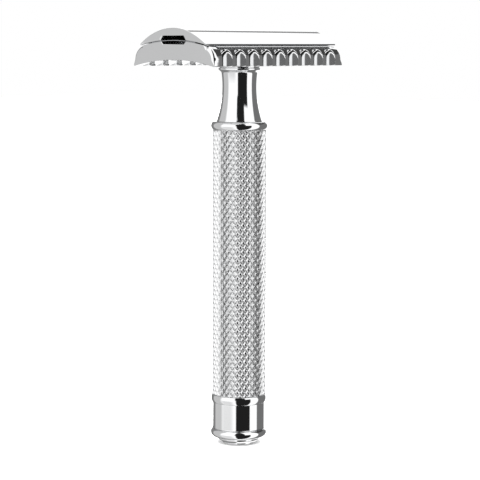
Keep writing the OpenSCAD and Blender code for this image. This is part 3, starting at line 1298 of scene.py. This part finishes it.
@dataclass
class Arithmetic:
    """Arithmetic nodes of one node tree.

    Args:
        tree: the tree that they are added to.
    """

    tree: bpy.types.NodeTree

    def node(self, kind: str, *values: float | bpy.types.NodeSocket) -> bpy.types.NodeSocket:
        """One arithmetic node.

        Args:
            kind: its operation.
            values: numbers or sockets for its inputs.

        Returns:
            Its result.
        """
        made = self.tree.nodes.new("ShaderNodeMath")
        made.operation = kind
        for socket, value in zip(made.inputs, values):
            if isinstance(value, bpy.types.NodeSocket):
                self.tree.links.new(value, socket)
            else:
                socket.default_value = value
        return made.outputs[0]

    def step(self, value: bpy.types.NodeSocket, at: float, blend: float) -> bpy.types.NodeSocket:
        """A soft step from 0 to 1.

        Args:
            value: what is compared.
            at: where the step's middle is.
            blend: how wide the step is.

        Returns:
            The step.
        """
        made = self.tree.nodes.new("ShaderNodeMapRange")
        made.interpolation_type = "SMOOTHSTEP"
        self.tree.links.new(value, made.inputs["Value"])
        made.inputs["From Min"].default_value = at - blend / 2
        made.inputs["From Max"].default_value = at + blend / 2
        return made.outputs["Result"]

    def window(self, value: bpy.types.NodeSocket, low: float, high: float,
               blend: float) -> bpy.types.NodeSocket:
        """1 between two values and 0 outside them, with soft edges.

        Args:
            value: what is compared.
            low: lower edge.
            high: upper edge.
            blend: width of each soft edge.

        Returns:
            The window.
        """
        return self.node("SUBTRACT", self.step(value, low, blend), self.step(value, high, blend))


@dataclass(frozen=True)
class Card:
    """One card of the studio's surround, as the polished metal sees it. Angles are in degrees.

    Args:
        start: azimuth where it starts, counted from the camera towards its right.
        end: azimuth where it ends.
        low: elevation of its lower edge.
        high: elevation of its upper edge.
        light: how bright it is.
        fade: width of its soft edges across.
        rise: width of its soft edges up and down.
    """

    start: float
    end: float
    low: float
    high: float
    light: float
    fade: float = 5.0
    rise: float = 5.0


@dataclass
class Studio:
    """The plain pale floor, the soft surround of light and dark cards, and the camera.

    Args:
        camera_azimuth: where the camera stands round the handle, in degrees from -Y towards +X.
        distance: level distance from the handle to the camera.
        eye_height: height of the camera.
        aim_height: height that it looks at.
        aim_aside: how far to its right of the handle's axis it looks.
        lens: focal length.
        roll: tilt of the picture, in degrees.
        floor_size: side of the floor, in metres.
        floor_gap: how far under the foot the floor lies.
        floor_colour: colour of the floor.
        floor_roughness: how far the floor scatters light.
        surround_light: brightness of the surround between its cards.
        lamp_power: strength of the lamp that evens out the floor.
        lamp_spread: how wide that lamp is, in degrees.
        cards: the surround's cards, each over the ones before it.
    """

    camera_azimuth: float = -47.5
    distance: float = 420.0
    eye_height: float = 91.05
    aim_height: float = 46.25
    aim_aside: float = 0.16
    lens: float = 140.3
    roll: float = 0.16
    floor_size: float = 4.0
    floor_gap: float = 0.05
    floor_colour: Colour = (0.93, 0.93, 0.93)
    floor_roughness: float = 0.9
    surround_light: float = 1.25
    lamp_power: float = 12.0
    lamp_spread: float = 120.0
    cards: tuple[Card, ...] = (
        Card(-172, -125, -88, 60, 0.24),
        Card(-128, -80, -88, 60, 0.62, fade=14),
        Card(-80, -28, -88, -8, 0.84, fade=25, rise=14),
        Card(-13, 50, -88, 18, 0.016),
        Card(-17, 27, 8, 86, 0.016),
        Card(87, 147, -88, 28, 0.19),
        Card(87, 147, 24, 62, 0.06),
        Card(147, 190, 20.0, 24.8, 0.3, rise=1.0),
    )

    def towards_camera(self) -> Vector:
        """Level direction from the handle to the camera."""
        azimuth = math.radians(self.camera_azimuth)
        return Vector((math.sin(azimuth), -math.cos(azimuth), 0))

    def camera(self) -> None:
        """Places the camera at the eye's height and turns it to the razor."""
        data = bpy.data.cameras.new("camera")
        data.lens = self.lens
        data.sensor_width = 36.0
        data.clip_start = 0.01
        camera = bpy.data.objects.new("camera", data)
        bpy.context.scene.collection.objects.link(camera)
        place = self.towards_camera() * self.distance * MM
        place.z = self.eye_height * MM
        aside = Vector((-self.towards_camera().y, self.towards_camera().x, 0)) * self.aim_aside
        aim = (Vector((0, 0, self.aim_height)) + aside) * MM - place
        turn = aim.to_track_quat("-Z", "Y").to_matrix().to_4x4()
        tilt = Matrix.Rotation(math.radians(self.roll), 4, "Z")
        camera.matrix_world = Matrix.Translation(place) @ turn @ tilt
        bpy.context.scene.camera = camera

    def floor(self) -> None:
        """Lays the floor."""
        bm = bmesh.new()
        bmesh.ops.create_grid(bm, x_segments=1, y_segments=1, size=self.floor_size / 2)
        mesh = bpy.data.meshes.new("floor")
        bm.to_mesh(mesh)
        bm.free()
        paper = bpy.data.materials.new("floor_paper")
        paper.use_nodes = True
        shader = paper.node_tree.nodes["Principled BSDF"]
        shader.inputs["Base Color"].default_value = (*self.floor_colour, 1.0)
        shader.inputs["Roughness"].default_value = self.floor_roughness
        mesh.materials.append(paper)
        floor = bpy.data.objects.new("floor", mesh)
        bpy.context.scene.collection.objects.link(floor)
        floor.location.z = -self.floor_gap * MM
        floor.visible_glossy = False

    def surround(self) -> None:
        """Builds the surround: pale, with the cards over it, and a plain white backdrop for the camera."""
        world = bpy.data.worlds.new("surround")
        bpy.context.scene.world = world
        world.use_nodes = True
        nodes, links = world.node_tree.nodes, world.node_tree.links
        place = nodes.new("ShaderNodeTexCoord")
        turn = nodes.new("ShaderNodeMapping")
        facing = self.towards_camera()
        turn.inputs["Rotation"].default_value = (0, 0, -math.atan2(facing.y, facing.x))
        links.new(place.outputs["Generated"], turn.inputs["Vector"])
        axes = nodes.new("ShaderNodeSeparateXYZ")
        links.new(turn.outputs["Vector"], axes.inputs["Vector"])
        plain = Arithmetic(world.node_tree)
        azimuth = plain.node("DEGREES", plain.node("ARCTAN2", axes.outputs["Y"], axes.outputs["X"]))
        elevation = plain.node("DEGREES", plain.node("ARCSINE", axes.outputs["Z"]))
        light: float | bpy.types.NodeSocket = self.surround_light
        for card in self.cards:
            across = plain.window(azimuth, card.start, card.end, card.fade)
            if card.end > 180:
                across = plain.node("MAXIMUM", across, plain.step(
                    plain.node("MULTIPLY", azimuth, -1.0), 360 - card.end, card.fade))
            inside = plain.node("MULTIPLY", across, plain.window(elevation, card.low, card.high, card.rise))
            mix = nodes.new("ShaderNodeMix")
            links.new(inside, mix.inputs["Factor"])
            if isinstance(light, bpy.types.NodeSocket):
                links.new(light, mix.inputs["A"])
            else:
                mix.inputs["A"].default_value = light
            mix.inputs["B"].default_value = card.light
            light = mix.outputs["Result"]
        lit = nodes["Background"]
        links.new(light, lit.inputs["Color"])
        backdrop = nodes.new("ShaderNodeBackground")
        backdrop.inputs["Color"].default_value = (1.0, 1.0, 1.0, 1)
        rays = nodes.new("ShaderNodeLightPath")
        choose = nodes.new("ShaderNodeMixShader")
        links.new(rays.outputs["Is Camera Ray"], choose.inputs["Fac"])
        links.new(lit.outputs["Background"], choose.inputs[1])
        links.new(backdrop.outputs["Background"], choose.inputs[2])
        links.new(choose.outputs["Shader"], nodes["World Output"].inputs["Surface"])

    def lamp(self) -> None:
        """Hangs one very wide, soft lamp that evens out the floor."""
        data = bpy.data.lights.new("wide_lamp", "SUN")
        data.energy = self.lamp_power
        data.angle = math.radians(self.lamp_spread)
        lamp = bpy.data.objects.new("wide_lamp", data)
        lamp.visible_glossy = False
        bpy.context.scene.collection.objects.link(lamp)

    def build(self) -> None:
        """Sets the camera, the floor, the surround and the lamp."""
        self.camera()
        self.floor()
        self.surround()
        self.lamp()
        bpy.context.scene.view_settings.view_transform = "Standard"


def main() -> None:
    """Builds the studio, then the razor from foot to cap."""
    logging.basicConfig(level=logging.INFO, stream=sys.stdout, format="%(name)s: %(message)s")
    Studio().build()
    Foot().dress()
    Grip().dress()
    Neck().dress()
    head = Head()
    CombPlate(head).dress()
    Blade(head).dress()
    Cap(head).dress()


if __name__ == "__main__":
    main()
